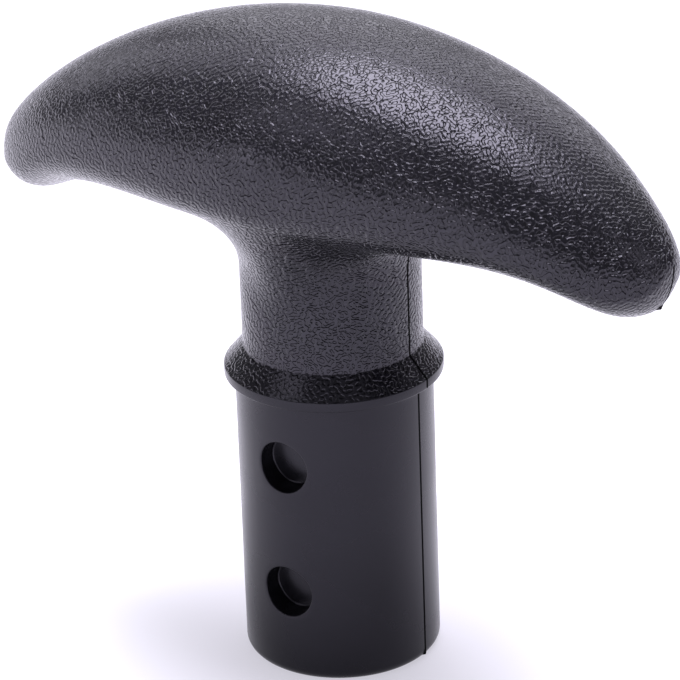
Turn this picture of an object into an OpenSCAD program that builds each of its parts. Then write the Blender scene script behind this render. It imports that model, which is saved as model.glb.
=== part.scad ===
// Palm T-grip for the top end of a paddle shaft.
// One moulding: a drooping palm bar on a round neck, with a collar that stops on the
// end of the tube and a plug that slides into it. The plug stands on its flat end at
// z = 0, the bar runs along X, and the mould opens along Y, so its parting plane is XZ.

/* [Plug] */
// Diameter of the plug, a slide fit in the shaft tube
plug_d = 28; // [22:0.5:34]
// Length of the plug below the collar
plug_len = 43; // [36:0.5:70]
// Radius of the rounded lead-in edge at the end of the plug
plug_edge_r = 1.5; // [0.5:0.1:3]

/* [Locking recesses] */
// Diameter of each blind recess
recess_d = 7.6; // [4:0.1:10]
// Depth of a recess at its middle, measured from the plug's surface
recess_depth = 3.4; // [1.5:0.1:5]
// Height of the lower recess above the end of the plug
recess_low_z = 13.5; // [8:0.5:15]
// Distance between the two recesses on one side
recess_pitch = 19.5; // [12:0.5:22]

/* [Collar] */
// How far the collar stands out past the plug all round
collar_step = 1.5; // [0.6:0.1:4]
// Height of the collar's smooth outer band
collar_h = 1.4; // [1:0.1:5]
// Height of the cone from the band up to the neck
flare_h = 3.1; // [1.5:0.1:6]

/* [Neck] */
// Diameter of the neck
neck_d = 25.5; // [20:0.1:28]
// Height of the straight neck between the cone and the blend
neck_len = 12.2; // [6:0.1:30]
// Height of the blend between the neck and the underside of the bar
blend_h = 7.8; // [5:0.1:10]
// How far the blend reaches out under the bar, past the neck
blend_reach = 7.5; // [4:0.1:9]

/* [Palm bar] */
// Length of the bar from tip to tip
bar_len = 108.8; // [90:1:140]
// Width of the bar at its middle
bar_w = 43.2; // [38:0.1:54]
// Height of the bar at its middle, from the underside to the crest
bar_h = 27.2; // [22:0.1:36]
// How far the tip's foremost point lies below the crest
nose_drop = 24.8; // [15:0.1:34]
// How far the underside of the tips hangs below the underside at the middle
heel_drop = 6.5; // [2:0.1:9]
// Where the heel ends and the arch of the underside begins, as a share of the half length
heel_start = 0.91; // [0.8:0.01:1]

/* [Form of the bar] */
// Roundness of the crest line: 1 is a parabola, 2 an ellipse
crest_round = 1.26; // [1:0.01:2]
// Bluntness of the tip, seen from the side
nose_blunt = 21; // [8:1:30]
// Flatness of the arch in the underside
arch_flat = 6.7; // [3:0.1:9]
// Fullness of the outline seen from above: 2 is an ellipse
plan_full = 1.6; // [1.4:0.05:3]
// Bluntness of the tip seen from above: 2 is an ellipse
plan_blunt = 2.04; // [1.5:0.02:3]
// Height of the widest line, as a share of the bar's thickness
waist = 0.39; // [0.25:0.01:0.6]
// Fullness of the cross section above the widest line: 2 is an ellipse
top_full = 2.1; // [1.8:0.02:2.6]
// Fullness of the cross section below it, at the middle of the bar
under_full = 3.2; // [1.8:0.02:4]
// Fullness of the cross section below it, at the tips
under_full_tip = 1.4; // [1.2:0.02:2.8]

/* [Hidden] */

plug_r = plug_d / 2;
collar_r = plug_r + collar_step;
neck_r = neck_d / 2;
half_len = bar_len / 2;
half_w = bar_w / 2;
collar_z = plug_len;
flare_z = collar_z + collar_h;
neck_z = flare_z + flare_h;
blend_z = neck_z + neck_len;
under_z = blend_z + blend_h;
crest_z = under_z + bar_h;
nose_z = crest_z - nose_drop;
heel_z = under_z - heel_drop;

// How the surface of the bar is divided
rays = 96;
top_rings = 24;
under_rings = 20;
blend_rings = 8;
// The blend's mesh stands this far outside the neck, so that the two cut cleanly
mesh_skin = 0.02;
turned_fn = 128;
recess_fn = 64;

// Height of the crest line at a share a of the half length
function crest(a) = nose_z + (crest_z - nose_z) * pow(1 - a * a, 1 / crest_round);

// Height of the underside's middle line there: a round nose, a heel and an arch
function nose(a) = (nose_z - heel_z) * sqrt(1 - pow(a, nose_blunt));
function arch(a) = heel_drop * pow(1 - pow(min(a / heel_start, 1), arch_flat), 2);
function keel(a) = nose_z - nose(a) + arch(a);

// Half width of the bar there, and the height of its widest line
function half_width(a) = half_w * pow(1 - pow(a, plan_full), 1 / plan_blunt);
function waist_z(a) = keel(a) + waist * (crest(a) - keel(a));

// How much of its height a section of fullness n keeps at a share b of its half width,
// and the fullness below the widest line, which falls off towards the tips
function dome(b, n) = pow(max(0, 1 - pow(b, n)), 1 / n);
function under_n(a) = under_full + (under_full_tip - under_full) * a;

// The two surfaces of the bar over a point (x, y)
function share(x) = min(abs(x) / half_len, 1);
function side(x, y) = min(abs(y) / max(half_width(share(x)), 0.001), 1);
function top_z(x, y) =
    let(a = share(x)) waist_z(a) + (crest(a) - waist_z(a)) * dome(side(x, y), top_full);
function bottom_z(x, y) =
    let(a = share(x)) waist_z(a) - (waist_z(a) - keel(a)) * dome(side(x, y), under_n(a));

// A point of the outline seen from above, for ray i, closer together towards the tips
function outline(i) =
    let(t = 360 * i / rays, a = abs(cos(t)))
    [half_len * cos(t), sign(sin(t)) * half_width(a)];

// Rings of the bar's surface, all on the same rays: over the top, back underneath to the
// blend's outer edge, and down the blend to the neck
function unit(v) = v / norm(v);
function at(p, z) = [p.x, p.y, z];
function top_ring(k) =
    let(s = sin(90 * k / top_rings))
    [for (i = [0:rays - 1]) let(p = outline(i) * s) at(p, top_z(p.x, p.y))];
function under_ring(k) =
    let(s = sin(90 * k / under_rings))
    [for (i = [0:rays - 1])
        let(o = outline(i), e = unit(o) * blend_outer_r(o), p = e + (o - e) * s)
        at(p, bottom_z(p.x, p.y))];

// Radius at which the blend ends on the ray to outline point o, always inside the outline
function blend_outer_r(o) = min(neck_r + blend_reach, norm(o) * 0.96);

// The blend in the plane of one ray is a parabola: it leaves the neck straight up and
// meets the underside along its slope
function under_slope(u, r) =
    let(d = 0.05, p = u * (r - d), q = u * (r + d))
    (bottom_z(q.x, q.y) - bottom_z(p.x, p.y)) / (2 * d);
function blend_point(o, t) =
    let(
        u = unit(o),
        inner_r = neck_r + mesh_skin,
        outer_r = blend_outer_r(o),
        p = u * outer_r,
        outer_z = bottom_z(p.x, p.y),
        corner_z = outer_z - under_slope(u, outer_r) * (outer_r - inner_r),
        r = inner_r + (outer_r - inner_r) * t * t,
        z = blend_z * pow(1 - t, 2) + corner_z * 2 * t * (1 - t) + outer_z * t * t
    )
    at(u * r, z);
function blend_ring(k) =
    [for (i = [0:rays - 1]) blend_point(outline(i), k / blend_rings)];

// The palm bar with its blend, one closed surface from the crest down to the neck
module palm_bar() {
    rings = concat(
        [for (k = [1:top_rings]) top_ring(k)],
        [for (k = [under_rings - 1:-1:0]) under_ring(k)],
        [for (k = [blend_rings - 1:-1:0]) blend_ring(k)]
    );
    last = len(rings) - 1;
    points = concat(
        [[0, 0, crest_z], [0, 0, blend_z]],
        [for (ring = rings) each ring]
    );
    function at_ring(k, i) = 2 + k * rays + i % rays;
    faces = concat(
        [for (i = [0:rays - 1]) [0, at_ring(0, i + 1), at_ring(0, i)]],
        [for (k = [0:last - 1], i = [0:rays - 1], half = [0, 1])
            half == 0
                ? [at_ring(k, i), at_ring(k, i + 1), at_ring(k + 1, i)]
                : [at_ring(k, i + 1), at_ring(k + 1, i + 1), at_ring(k + 1, i)]],
        [for (i = [0:rays - 1]) [1, at_ring(last, i), at_ring(last, i + 1)]]
    );
    polyhedron(points, faces, convexity = 6);
}

// Plug, collar and neck, turned about the shaft's axis
module stem() {
    edge = [for (t = [-90:15:0])
        [plug_r - plug_edge_r + plug_edge_r * cos(t), plug_edge_r + plug_edge_r * sin(t)]];
    profile = concat(
        [[0, 0]],
        edge,
        [
            [plug_r, collar_z],
            [collar_r, collar_z],
            [collar_r, flare_z],
            [neck_r, neck_z],
            [neck_r, blend_z + blend_h / 2],
            [0, blend_z + blend_h / 2]
        ]
    );
    rotate_extrude($fn = turned_fn) polygon(profile);
}

// Two blind recesses, one above the other, on each face of the plug
module locking_recesses() {
    for (face = [-1, 1], step = [0, 1])
        translate([0, face * (plug_r - recess_depth), recess_low_z + step * recess_pitch])
            rotate([-90 * face, 0, 0])
                cylinder(d = recess_d, h = plug_r, $fn = recess_fn);
}

// The whole moulding
module t_grip() {
    color([0.11, 0.11, 0.12])
        difference() {
            union() {
                palm_bar();
                stem();
            }
            locking_recesses();
        }
}

t_grip();
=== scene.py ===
"""Looks of a palm T-grip for a paddle shaft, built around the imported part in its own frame."""

import math

import bmesh
import bpy
import numpy as np
from mathutils import Matrix, Vector


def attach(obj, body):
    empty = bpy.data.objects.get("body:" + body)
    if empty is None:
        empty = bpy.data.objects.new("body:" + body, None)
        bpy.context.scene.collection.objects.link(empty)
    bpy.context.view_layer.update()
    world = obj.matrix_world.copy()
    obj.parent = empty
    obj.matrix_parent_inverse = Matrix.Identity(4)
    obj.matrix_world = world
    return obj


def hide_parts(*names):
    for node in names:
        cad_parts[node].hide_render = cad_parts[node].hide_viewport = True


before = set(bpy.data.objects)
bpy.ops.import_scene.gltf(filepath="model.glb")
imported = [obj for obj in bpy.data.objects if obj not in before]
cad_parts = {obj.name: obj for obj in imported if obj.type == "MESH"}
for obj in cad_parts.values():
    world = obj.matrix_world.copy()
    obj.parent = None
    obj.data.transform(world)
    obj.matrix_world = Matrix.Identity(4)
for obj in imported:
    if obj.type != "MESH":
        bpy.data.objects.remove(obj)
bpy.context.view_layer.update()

# Lengths are in millimetres up to the point where a mesh is made
MM = 0.001

# Plug, collar and neck, with the fillets from the collar's cone down to the plug's wall
plug_r = 14.0
plug_edge_r = 1.5
collar_z = 43.0
collar_r = 15.5
flare_z = 44.4
neck_z = 47.5
neck_r = 12.75
collar_fillets = (0.3, 0.25, 0.2, 0.12)

# Blend from the neck to the bar: where it starts, how far it reaches out, the most of the
# outline's radius it may take, how far it droops in front and behind, and its least rise
blend_z = 59.7
blend_reach = 7.5
blend_limit = 0.96
blend_droop = 5.0
blend_rise = 0.3

# Locking recesses, with the fillets at their mouth and foot
recess_r = 3.8
recess_depth = 3.4
recess_heights = (13.5, 33.0)
mouth_fillet = 0.22
foot_fillet = 0.3

# Palm bar, named as in the part's source
half_len = 54.4
half_w = 21.6
crest_z = 94.7
under_z = 67.5
nose_z = 69.9
heel_z = 61.0
heel_start = 0.91
crest_round = 1.26
nose_blunt = 21.0
arch_flat = 6.7
plan_full = 1.6
plan_blunt = 2.04
waist = 0.39
top_full = 2.1
under_full = 3.2
under_full_tip = 1.4

# Keeps a division away from zero at the very tips
least_width = 0.001

# Division of the skin
rays = 320
top_rings = 44
under_rings = 40
blend_rings = 16
fillet_steps = 4
lead_in_steps = 6

# Rings that only divide the stem: one on the neck, those at the top and the foot of the
# plug's wall, and those on its flat end
neck_ring_z = 53.5
wall_top_z = 41.5
wall_foot_z = 4.5
end_radii = (12.2, 8, 4)

# Each recess sits in a patch of the plug's wall: half the patch's height, its steps down, the
# rays on either side of its middle, the shares of the way from its border to the recess's
# mouth at which rings stand, and the radii of the rings on the recess's floor
patch_half = 5.3
patch_steps = 14
patch_rays = 20
mouth_shares = (0.35, 0.7)
floor_radii = (2.4, 1.2)

# Parting line: half its width, its depth, the edges beside it and how far it stays from the
# plug's end and from the bar's widest point
line_half = 0.22
line_depth = 0.3
line_edge = 0.42
line_stop = 0.4

# Small nubs of flash on it: how far each spreads and stands out, and where they are, as
# distances from the shaft's axis and heights
nub_reach = 0.5
nub_height = 0.33
nubs = [(52.4, 63.3), (13.85, 0.85)]


def direction(azimuth, elevation):
    """The way towards this azimuth (0 is -Y, 90 is +X) and elevation, both in degrees."""
    turn = math.radians(azimuth)
    rise = math.radians(elevation)
    return Vector((
        math.sin(turn) * math.cos(rise),
        -math.cos(turn) * math.cos(rise),
        math.sin(rise),
    ))


def add_object(name, data):
    """A new object in the scene."""
    made = bpy.data.objects.new(name, data)
    bpy.context.scene.collection.objects.link(made)
    return made


def place_camera():
    """The camera, at the photograph's viewing angle. Its lengths are in metres."""
    azimuth = 33.91
    elevation = 24.36
    roll = math.radians(-2.05)
    distance = 0.56217
    aim_height = 0.04699
    aim_right = 0.00096
    back = direction(azimuth, elevation)
    right = direction(azimuth + 90, 0)
    up = back.cross(right)
    image_right = math.cos(roll) * right + math.sin(roll) * up
    image_up = math.cos(roll) * up - math.sin(roll) * right
    data = bpy.data.cameras.new("camera")
    data.sensor_width = 36
    data.lens = 211.76
    data.clip_start = 0.01
    data.clip_end = 50
    camera = add_object("camera", data)
    matrix = Matrix((image_right, image_up, back)).transposed().to_4x4()
    matrix.translation = Vector((0, 0, aim_height)) + aim_right * right + distance * back
    camera.matrix_world = matrix
    bpy.context.scene.camera = camera


# Form of the palm bar, as functions of a share of its half length
def crest(a):
    """Height of the crest line."""
    return nose_z + (crest_z - nose_z) * np.power(np.maximum(1 - a * a, 0), 1 / crest_round)


def keel(a):
    """Height of the underside's middle line: a round nose, a heel and an arch."""
    nose = (nose_z - heel_z) * np.sqrt(np.maximum(1 - np.power(a, nose_blunt), 0))
    arch = np.power(1 - np.power(np.minimum(a / heel_start, 1), arch_flat), 2)
    return nose_z - nose + (under_z - heel_z) * arch


def half_width(a):
    """Half the bar's width."""
    return half_w * np.power(np.maximum(1 - np.power(a, plan_full), 0), 1 / plan_blunt)


def waist_z(a):
    """Height of the widest line."""
    return keel(a) + waist * (crest(a) - keel(a))


def dome(b, fullness):
    """How much of its height a section keeps at a share of its half width."""
    return np.power(np.maximum(1 - np.power(b, fullness), 0), 1 / fullness)


def shares(x, y):
    """A point's shares of the half length, and of the half width there."""
    a = np.minimum(np.abs(x) / half_len, 1)
    b = np.minimum(np.abs(y) / np.maximum(half_width(a), least_width), 1)
    return a, b


def top_z(x, y):
    """Height of the bar's upper surface."""
    a, b = shares(x, y)
    return waist_z(a) + (crest(a) - waist_z(a)) * dome(b, top_full)


def bottom_z(x, y):
    """Height of its under surface."""
    a, b = shares(x, y)
    fullness = under_full + (under_full_tip - under_full) * a
    return waist_z(a) - (waist_z(a) - keel(a)) * dome(b, fullness)


# Directions of the rays
angles = np.arange(rays) * 2 * math.pi / rays
ray_x = np.cos(angles)
ray_y = np.sin(angles)


def outline_radii():
    """Radius of the bar's outline on each ray, found by halving."""
    halvings = 60
    past_tip = 1.01 * half_len
    low = np.zeros(rays)
    high = np.full(rays, past_tip)
    for _ in range(halvings):
        middle = (low + high) / 2
        a = np.abs(middle * ray_x) / half_len
        inside = (a <= 1) & (np.abs(middle * ray_y) <= half_width(np.minimum(a, 1)))
        low = np.where(inside, middle, low)
        high = np.where(inside, high, middle)
    return low


def ring(radii, z):
    """One closed ring of points, all of them on the rays."""
    return np.column_stack((radii * ray_x, radii * ray_y, z * np.ones(rays)))


def bar_rings():
    """Rings from just beside the crest's middle, over the edge, to the top of the neck."""
    edge = outline_radii()
    inner = np.minimum(neck_r + blend_reach, edge * blend_limit)
    made = []
    for k in range(1, top_rings + 1):
        radii = edge * math.sin(math.pi / 2 * k / top_rings)
        made.append(ring(radii, top_z(radii * ray_x, radii * ray_y)))
    # The outermost ring lies on the widest line
    made[-1][:, 2] = waist_z(np.minimum(np.abs(edge * ray_x) / half_len, 1))
    for k in range(under_rings - 1, -1, -1):
        radii = inner + (edge - inner) * math.sin(math.pi / 2 * k / under_rings)
        made.append(ring(radii, bottom_z(radii * ray_x, radii * ray_y)))
    # The blend leaves the neck straight up and meets the underside along its slope
    step = 0.05
    outer_z = bottom_z(inner * ray_x, inner * ray_y)
    beyond = bottom_z((inner + step) * ray_x, (inner + step) * ray_y)
    before = bottom_z((inner - step) * ray_x, (inner - step) * ray_y)
    corner_z = outer_z - (beyond - before) / (2 * step) * (inner - neck_r)
    # In front and behind, the blend runs a little further down the neck
    low_z = blend_z - blend_droop * ray_y ** 4
    corner_z = np.maximum(corner_z, low_z + blend_rise)
    for k in range(blend_rings - 1, -1, -1):
        t = k / blend_rings
        radii = neck_r + (inner - neck_r) * t * t
        z = low_z * (1 - t) ** 2 + corner_z * 2 * t * (1 - t) + outer_z * t * t
        made.append(ring(radii, z))
    return made


def rounded(profile, radii):
    """The profile's points, with each inner corner replaced by an arc of its own radius."""
    points = [profile[0]]
    for before, corner, after, radius in zip(profile, profile[1:], profile[2:], radii):
        here = Vector(corner)
        back = (Vector(before) - here).normalized()
        on = (Vector(after) - here).normalized()
        half = back.angle(on) / 2
        reach = radius / math.tan(half)
        centre = here + (back + on).normalized() * radius / math.sin(half)
        start = here + back * reach - centre
        turn = start.angle_signed(here + on * reach - centre)
        for k in range(fillet_steps + 1):
            spoke = start.copy()
            spoke.rotate(Matrix.Rotation(-turn * k / fillet_steps, 2))
            points.append(tuple(centre + spoke))
    points.append(profile[-1])
    return points


def stem_points():
    """Radius and height of each ring from the neck down to the plug's flat end."""
    collar = rounded(
        [
            (neck_r, neck_ring_z),
            (neck_r, neck_z),
            (collar_r, flare_z),
            (collar_r, collar_z),
            (plug_r, collar_z),
            (plug_r, wall_top_z),
        ],
        collar_fillets,
    )
    wall = []
    for height in reversed(recess_heights):
        for k in range(patch_steps + 1):
            wall.append((plug_r, height + patch_half * (1 - 2 * k / patch_steps)))
    wall.append((plug_r, wall_foot_z))
    lead_in = []
    for k in range(lead_in_steps + 1):
        turn = math.pi / 2 * k / lead_in_steps
        radius = plug_r - plug_edge_r * (1 - math.cos(turn))
        lead_in.append((radius, plug_edge_r * (1 - math.sin(turn))))
    return collar + wall + lead_in + [(radius, 0) for radius in end_radii]


def wall_point(x, z, face, depth=0.0):
    """A point of the plug's wall on the front (-1) or back (1), or this deep below it."""
    return (x, face * (math.sqrt(plug_r ** 2 - x ** 2) - depth), z)


def recess_rings(border, face, height):
    """Rings from a patch's border in to the recess's floor, as lists of points."""
    floor_y = plug_r - recess_depth
    spokes = [math.atan2(z - height, x) for x, _, z in border]

    def circle(radius):
        return [(radius * math.cos(s), height + radius * math.sin(s)) for s in spokes]

    made = []
    mouth = circle(recess_r + mouth_fillet)
    for t in mouth_shares:
        made.append([
            wall_point(x + (end_x - x) * t, z + (end_z - z) * t, face)
            for (x, _, z), (end_x, end_z) in zip(border, mouth)
        ])
    turns = [math.pi / 2 * k / fillet_steps for k in range(fillet_steps + 1)]
    for turn in turns:
        radius = recess_r + mouth_fillet * (1 - math.sin(turn))
        depth = mouth_fillet * (1 - math.cos(turn))
        made.append([wall_point(x, z, face, depth) for x, z in circle(radius)])
    for turn in turns:
        radius = recess_r - foot_fillet * (1 - math.cos(turn))
        y = floor_y + foot_fillet * (1 - math.sin(turn))
        made.append([(x, face * y, z) for x, z in circle(radius)])
    for radius in floor_radii:
        made.append([(x, face * floor_y, z) for x, z in circle(radius)])
    return made


def build_skin():
    """The whole moulding's points and faces, in millimetres."""
    stem = stem_points()
    rings = bar_rings() + [ring(np.full(rays, r), z) for r, z in stem]
    points = [(0, 0, crest_z)]
    for one in rings:
        points += [tuple(p) for p in one.tolist()]
    points.append((0, 0, 0))
    last = len(rings) - 1

    def at(k, i):
        return 1 + k * rays + i % rays

    # Recess patches: the first ring, the middle ray, the face they are on and the height
    front_ray = 3 * rays // 4
    back_ray = rays // 4
    stem_start = len(rings) - len(stem)
    heights = [z for _, z in stem]
    patches = []
    for height in recess_heights:
        first = stem_start + min(
            range(len(heights)), key=lambda k: abs(heights[k] - height - patch_half)
        )
        patches.append((first, front_ray, -1, height))
        patches.append((first, back_ray, 1, height))

    def in_patch(k, i):
        return any(
            first <= k < first + patch_steps and middle - patch_rays <= i < middle + patch_rays
            for first, middle, _, _ in patches
        )

    faces = [(0, at(0, i), at(0, i + 1)) for i in range(rays)]
    for k in range(last):
        for i in range(rays):
            if not in_patch(k, i):
                faces.append((at(k, i), at(k + 1, i), at(k + 1, i + 1), at(k, i + 1)))
    faces += [(len(points) - 1, at(last, i + 1), at(last, i)) for i in range(rays)]

    for first, middle, face, height in patches:
        low = middle - patch_rays
        high = middle + patch_rays
        below = first + patch_steps
        border = [at(first, i) for i in range(low, high)]
        border += [at(k, high) for k in range(first, below)]
        border += [at(below, i) for i in range(high, low, -1)]
        border += [at(k, low) for k in range(below, first, -1)]
        pairs = [(i, (i + 1) % len(border)) for i in range(len(border))]
        loop = border
        for ring_points in recess_rings([points[v] for v in border], face, height):
            fresh = list(range(len(points), len(points) + len(border)))
            points += ring_points
            faces += [(loop[i], fresh[i], fresh[j], loop[j]) for i, j in pairs]
            loop = fresh
        points.append((0, face * (plug_r - recess_depth), height))
        faces += [(loop[i], len(points) - 1, loop[j]) for i, j in pairs]
    return points, faces


def line_cut(x, z):
    """How deep the skin is cut at a point of the parting plane: below 0 where a nub stands out."""
    nearest = min(math.hypot(abs(x) - nub_x, z - nub_z) for nub_x, nub_z in nubs)
    if nearest < nub_reach:
        return -nub_height * (1 - (nearest / nub_reach) ** 2)
    if line_stop < z < nose_z - line_stop:
        return line_depth
    return 0.0


def make_moulding():
    """The grip as one mesh with its parting line, in metres."""
    tolerance = 0.01
    grain_starts = flare_z + 0.05
    sharp_angle = math.radians(50)
    points, faces = build_skin()
    mesh = bpy.data.meshes.new("moulding")
    mesh.from_pydata(points, [], faces)
    shape = bmesh.new()
    shape.from_mesh(mesh)
    loose = [v for v in shape.verts if not v.link_faces]
    bmesh.ops.delete(shape, geom=loose, context="VERTS")
    # Edges beside the parting line, so that its groove is narrow and stays by itself
    for offset in (-line_edge, -line_half, line_half, line_edge):
        bmesh.ops.bisect_plane(
            shape,
            geom=shape.verts[:] + shape.edges[:] + shape.faces[:],
            dist=tolerance,
            plane_co=(0, offset, 0),
            plane_no=(0, 1, 0),
        )
    bmesh.ops.recalc_face_normals(shape, faces=shape.faces[:])
    shape.normal_update()
    moves = [
        (v, v.co - v.normal * line_cut(v.co.x, v.co.z))
        for v in shape.verts
        if abs(v.co.y) < tolerance
    ]
    for vertex, place in moves:
        vertex.co = place
    # Material slots: 0 is the grained plastic, 1 the satin, 2 the parting line's, which is painted
    # dark as shade in its groove
    for face in shape.faces:
        face.smooth = True
        x, y, z = face.calc_center_median()
        if abs(y) < line_half and line_cut(x, z) != 0:
            face.material_index = 2
        else:
            face.material_index = 0 if z > grain_starts else 1
    bmesh.ops.scale(shape, vec=(MM, MM, MM), verts=shape.verts[:])
    shape.to_mesh(mesh)
    shape.free()
    mesh.set_sharp_from_angle(angle=sharp_angle)
    return add_object("moulding", mesh)


# Middle of the range that a noise's values fall in
noise_middle = (0.3, 0.7)


# Materials, with their lengths in metres
class Nodes:
    """Short calls for the nodes of one material."""

    def __init__(self, name):
        self.material = bpy.data.materials.new(name)
        self.material.use_nodes = True
        self.tree = self.material.node_tree
        self.shader = self.tree.nodes["Principled BSDF"]

    def put(self, socket, value):
        if isinstance(value, bpy.types.NodeSocket):
            self.tree.links.new(value, socket)
        else:
            socket.default_value = value

    def add(self, kind, **settings):
        made = self.tree.nodes.new("ShaderNode" + kind)
        for name, value in settings.items():
            setattr(made, name, value)
        return made

    def place(self):
        """The point on the surface, in the part's own frame."""
        return self.add("TexCoord").outputs["Object"]

    def along(self, axis, vector):
        """How far a vector reaches along X, Y or Z."""
        made = self.add("SeparateXYZ")
        self.put(made.inputs["Vector"], vector)
        return made.outputs[axis]

    def math(self, operation, a, b):
        made = self.add("Math", operation=operation)
        self.put(made.inputs[0], a)
        self.put(made.inputs[1], b)
        return made.outputs[0]

    def plus(self, a, b):
        return self.math("ADD", a, b)

    def minus(self, a, b):
        return self.math("SUBTRACT", a, b)

    def times(self, a, b):
        return self.math("MULTIPLY", a, b)

    def vector(self, operation, *values, output="Vector"):
        made = self.add("VectorMath", operation=operation)
        for socket, value in zip(made.inputs, values):
            self.put(socket, value)
        return made.outputs[output]

    def noise(self, vector, scale, detail=0.0, output="Fac"):
        made = self.add("TexNoise")
        self.put(made.inputs["Vector"], vector)
        made.inputs["Scale"].default_value = scale
        made.inputs["Detail"].default_value = detail
        return made.outputs[output]

    def ramp(self, value, span, results=(0.0, 1.0)):
        """From the first result to the second, smoothly, as the value crosses the span."""
        made = self.add("MapRange", interpolation_type="SMOOTHSTEP")
        self.put(made.inputs["Value"], value)
        names = ("From Min", "From Max", "To Min", "To Max")
        for name, number in zip(names, (*span, *results)):
            made.inputs[name].default_value = number
        return made.outputs["Result"]

    def uneven(self, noise, first, second):
        """A number or a colour that wanders from the first to the second with a noise."""
        if isinstance(first, tuple):
            return self.blend(self.ramp(noise, noise_middle), first, second)
        return self.ramp(noise, noise_middle, (first, second))

    def blend(self, share, first, second):
        made = self.add("Mix", data_type="RGBA")
        self.put(made.inputs["Factor"], share)
        self.put(made.inputs["A"], first)
        self.put(made.inputs["B"], second)
        return made.outputs["Result"]

    def bump(self, height, depth, normal=None):
        made = self.add("Bump")
        self.put(made.inputs["Height"], height)
        made.inputs["Distance"].default_value = depth
        if normal is not None:
            self.put(made.inputs["Normal"], normal)
        return made.outputs["Normal"]

    def surface(self, sockets):
        """Set the shader's sockets by name, and return the finished material."""
        for name, value in sockets.items():
            self.put(self.shader.inputs[name], value)
        return self.material


# The black plastic: its darker and its lighter places, the painted shade in its grooves, and the
# tint of its shine
plastic_dark = (0.0036, 0.0035, 0.0046, 1)
plastic_light = (0.0054, 0.0052, 0.0070, 1)
groove_painted_shade = (0.002, 0.002, 0.0025, 1)
plastic_tint = (0.89, 0.86, 1, 1)

# Grain: the length of its waves and of the finer ones on them, how far it wanders, and its
# depth, which grows from a share of itself to the whole over these heights
grain_wave = 0.00068
fine_wave = 0.00052
grain_drift = 0.0004
grain_depth = 0.0002
shallow_share = 0.4
deepening_z = (0.044, 0.054)

# The grain's height is made of flat tops, their low crowns and a little of the finer waves
crown_share = 0.14
fine_share = 0.03


def grain_waves(n, place, wavelength):
    """A sum of waves of one length in many directions, about 1 in size.

    Its low places form worms. Each group of three waves is turned and shifted from the one
    before by fixed odd steps.
    """
    groups = 6
    turn_start = np.array((1.3, 0.7, 2.1))
    turn_step = np.array((2.4, 1.9, 3.1))
    phase_start = np.array((0.0, 2.2, 4.1))
    phase_step = np.array((0.9, 1.7, 2.9))
    stretch = (2 * math.pi / wavelength,) * 3
    weights = ((2 / (3 * groups)) ** 0.5,) * 3
    total = None
    for k in range(groups):
        turned = n.add("VectorRotate", rotation_type="EULER_XYZ")
        n.put(turned.inputs["Vector"], place)
        n.put(turned.inputs["Rotation"], turn_start + turn_step * k)
        phase = phase_start + phase_step * k
        scaled = n.vector("MULTIPLY_ADD", turned.outputs["Vector"], stretch, phase)
        value = n.vector("DOT_PRODUCT", n.vector("SINE", scaled), weights, output="Value")
        total = value if total is None else n.plus(total, value)
    return total


def grained_plastic():
    """Black plastic with a worm-like grain: narrow grooves between low crowns."""
    n = Nodes("grained_plastic")
    place = n.place()
    wander = n.noise(place, scale=450, output="Color")
    shifted = n.vector("MULTIPLY_ADD", wander, (grain_drift,) * 3, place)
    field = grain_waves(n, shifted, grain_wave)
    # Here and there a groove is partly filled, so that the worms come to an end
    filled = n.ramp(n.noise(place, scale=800), (0.5, 0.66), (0.0, 0.5))
    plateau = n.ramp(n.plus(field, filled), (-0.8, 0.5))
    groove = n.minus(1.0, plateau)
    crown = n.ramp(field, (-1.0, 1.4))
    height = n.plus(n.times(plateau, 1 - crown_share), n.times(crown, crown_share))
    height = n.plus(height, n.times(grain_waves(n, place, fine_wave), fine_share))
    # The grain is shallowest on the collar's cone and deepens up the neck
    height = n.times(height, n.ramp(n.along("Z", place), deepening_z, (shallow_share, 1.0)))
    matt = n.bump(n.noise(place, scale=5200, detail=2.0), depth=0.000002)
    patches = n.noise(place, scale=60, detail=3.0)
    gloss = n.uneven(patches, 0.13, 0.18)
    return n.surface({
        # The grooves are painted darker: painted shade in the grain's hollows
        "Base Color": n.blend(groove, n.uneven(patches, plastic_dark, plastic_light), groove_painted_shade),
        "Roughness": n.plus(gloss, n.times(groove, 0.1)),
        "IOR": 1.43,
        "Specular Tint": plastic_tint,
        "Normal": n.bump(height, depth=grain_depth, normal=matt),
    })


def satin_plastic():
    """The same plastic where the mould was plain: satin, with faint scuffs."""
    n = Nodes("satin_plastic")
    place = n.place()
    scuffs = n.noise(place, scale=90, detail=4.0)
    return n.surface({
        "Base Color": n.uneven(scuffs, plastic_dark, plastic_light),
        "Roughness": n.uneven(scuffs, 0.24, 0.3),
        "IOR": 1.335,
        "Specular Tint": plastic_tint,
        "Normal": n.bump(n.noise(place, scale=1500, detail=3.0), depth=0.000005),
    })


def parting_line_painted_shade():
    """The plastic in the parting line: dull, and painted dark as shade in its groove."""
    n = Nodes("parting_line_painted_shade")
    place = n.place()
    line_shade_noise = n.noise(place, scale=700, detail=3.0)
    return n.surface({
        # Its darker colour is painted shade in the groove, varied by a noise
        "Base Color": n.uneven(line_shade_noise, (0.0012, 0.0012, 0.0014, 1), (0.003, 0.003, 0.0036, 1)),
        "Roughness": n.uneven(line_shade_noise, 0.6, 0.8),
        "IOR": 1.2,
        "Normal": n.bump(n.noise(place, scale=2500, detail=2.0), depth=0.00002),
    })


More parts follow.
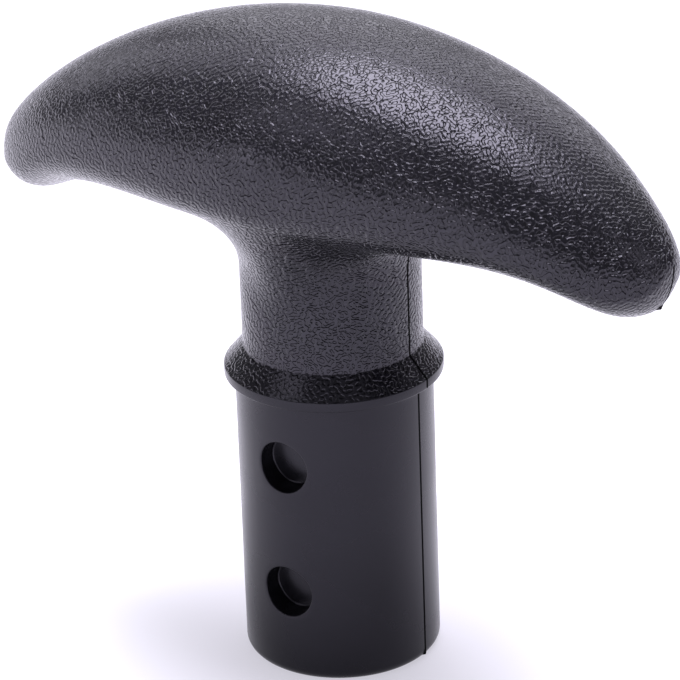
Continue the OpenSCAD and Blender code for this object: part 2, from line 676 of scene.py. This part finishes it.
# Stage, in metres
def make_floor():
    """A pale floor that gives off light of its own, so that it shows white."""
    mesh = bpy.data.meshes.new("floor")
    reach = 6.0
    corners = [(-reach, -reach, 0), (reach, -reach, 0), (reach, reach, 0), (-reach, reach, 0)]
    mesh.from_pydata(corners, [], [(0, 1, 2, 3)])
    n = Nodes("floor_white")
    place = n.place()
    away = n.vector("LENGTH", place, output="Value")
    back = n.along("Y", place)
    # Its glow is uneven: weaker close to the plug as a painted shadow, weaker behind it as painted
    # shade, and strongest in front as a painted pool of light
    glow_with_painted_shadow = n.ramp(away, (0.015, 0.06), (0.6, 1.1))
    front_painted_light = n.ramp(back, (-0.16, -0.04), (0.6, 0.0))
    behind = n.ramp(back, (0.0, 0.15), (0.0, 0.3))
    mesh.materials.append(n.surface({
        "Base Color": (0.2, 0.196, 0.212, 1),
        "Roughness": 0.9,
        "Specular IOR Level": 0.1,
        "Emission Color": (0.92, 0.9, 1, 1),
        "Emission Strength": n.minus(n.plus(glow_with_painted_shadow, front_painted_light), behind),
    }))
    add_object("floor", mesh)


# Colour of the softboxes and of the world
light_tint = (0.93, 0.91, 1.0)

# Softboxes above the grip, facing down: name, place, width and depth, and power
overhead_panels = [
    ("overhead", (-0.08, 0.25, 1.08), (0.75, 0.7), 17.5),
    ("overhead_front", (-0.08, 0.12, 1.08), (0.5, 0.45), 23.0),
    ("overhead_right", (0.25, 0.4, 1.08), (0.35, 0.5), 0.24),
]

# Softboxes around it, facing a point at this height from a metre away
panel_aim_z = 0.06

# Name, azimuth, elevation, size and power of each of them
standing_panels = [
    ("left_mid", -110, 24, 0.45, 0.8),
    ("back_left_mid", -145, 24, 0.45, 1.1),
    ("back_mid", -175, 24, 0.45, 1.25),
    ("right_mid", 90, 24, 0.45, 0.59),
    ("front_mid", 10, 24, 0.45, 0.18),
    ("left_high", -110, 48, 0.45, 0.95),
    ("back_left_high", -145, 48, 0.45, 0.9),
    ("back_high", -175, 48, 0.45, 0.82),
    ("front_left_high", -30, 48, 0.45, 0.8),
    ("back_right_high", 145, 48, 0.45, 0.25),
    ("right_top", 110, 66, 0.35, 1.3),
    ("left_low", -70, 8, 0.3, 0.35),
    ("front_left_low", -30, 8, 0.3, 0.85),
    ("front_low", 10, 8, 0.3, 0.45),
]


def add_panel(name, size, power):
    """A rectangular softbox that the camera doesn't see."""
    data = bpy.data.lights.new(name, "AREA")
    data.shape = "RECTANGLE"
    data.size, data.size_y = size
    data.energy = power
    data.color = light_tint
    panel = add_object(name, data)
    panel.visible_camera = False
    return panel


def hang_panel(name, place, size, power):
    """A softbox that faces straight down."""
    add_panel(name, size, power).location = place


def stand_panel(name, azimuth, elevation, size, power):
    """A square softbox a metre from the grip, facing it."""
    panel = add_panel(name, (size, size), power)
    way = direction(azimuth, elevation)
    panel.location = Vector((0, 0, panel_aim_z)) + way
    panel.rotation_euler = way.to_track_quat("Z", "Y").to_euler()


def make_world():
    """Faint even light from all around."""
    world = bpy.data.worlds.new("studio")
    world.use_nodes = True
    background = world.node_tree.nodes["Background"]
    background.inputs["Color"].default_value = (*light_tint, 1)
    background.inputs["Strength"].default_value = 0.27
    bpy.context.scene.world = world


place_camera()
moulding = make_moulding()
for plastic in (grained_plastic(), satin_plastic(), parting_line_painted_shade()):
    moulding.data.materials.append(plastic)
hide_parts("t_grip")
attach(moulding, "root")
make_floor()
make_world()
for panel in overhead_panels:
    hang_panel(*panel)
for panel in standing_panels:
    stand_panel(*panel)
bpy.context.scene.view_settings.view_transform = "Standard"
